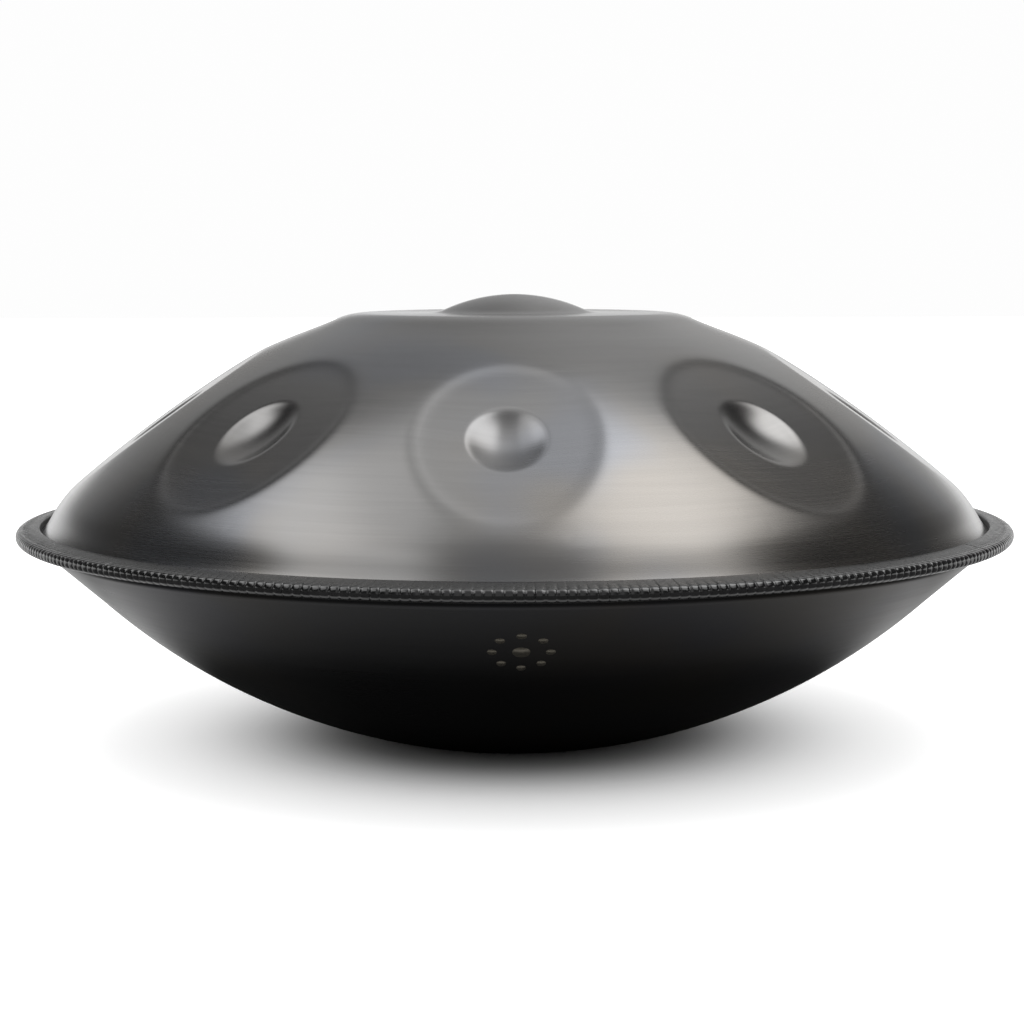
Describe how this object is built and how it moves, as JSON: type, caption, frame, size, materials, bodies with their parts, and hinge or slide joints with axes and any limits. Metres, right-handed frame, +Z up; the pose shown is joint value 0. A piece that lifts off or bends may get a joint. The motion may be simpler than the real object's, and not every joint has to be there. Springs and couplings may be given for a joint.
{
  "type": "handpan",
  "caption": "Steel handpan: two domed shells glued flange to flange, with a raised centre note, dimpled oval tone fields round it, a port underneath and a ridged edge trim.",
  "frame": {"origin": "centre of the flat ring round the port that the instrument rests on", "axes": "+Z up through the centre note; the smallest tone field faces -Y, turned 1.1 degrees towards -X"},
  "size_m": [0.536, 0.536, 0.2396],
  "materials": {
    "top_shell": "fine brushed steel, heat darkened",
    "bottom_shell": "dark satin heat-treated steel",
    "flange_adhesive": "matte",
    "trim_core": "satin",
    "trim_cover": "matte grained"
  },
  "bodies": {
    "root": {"top_shell": "top_shell", "bottom_shell": "bottom_shell", "flange_adhesive": "flange_adhesive", "trim_core": "trim_core", "trim_cover": "trim_cover"}
  },
  "joints": []
}
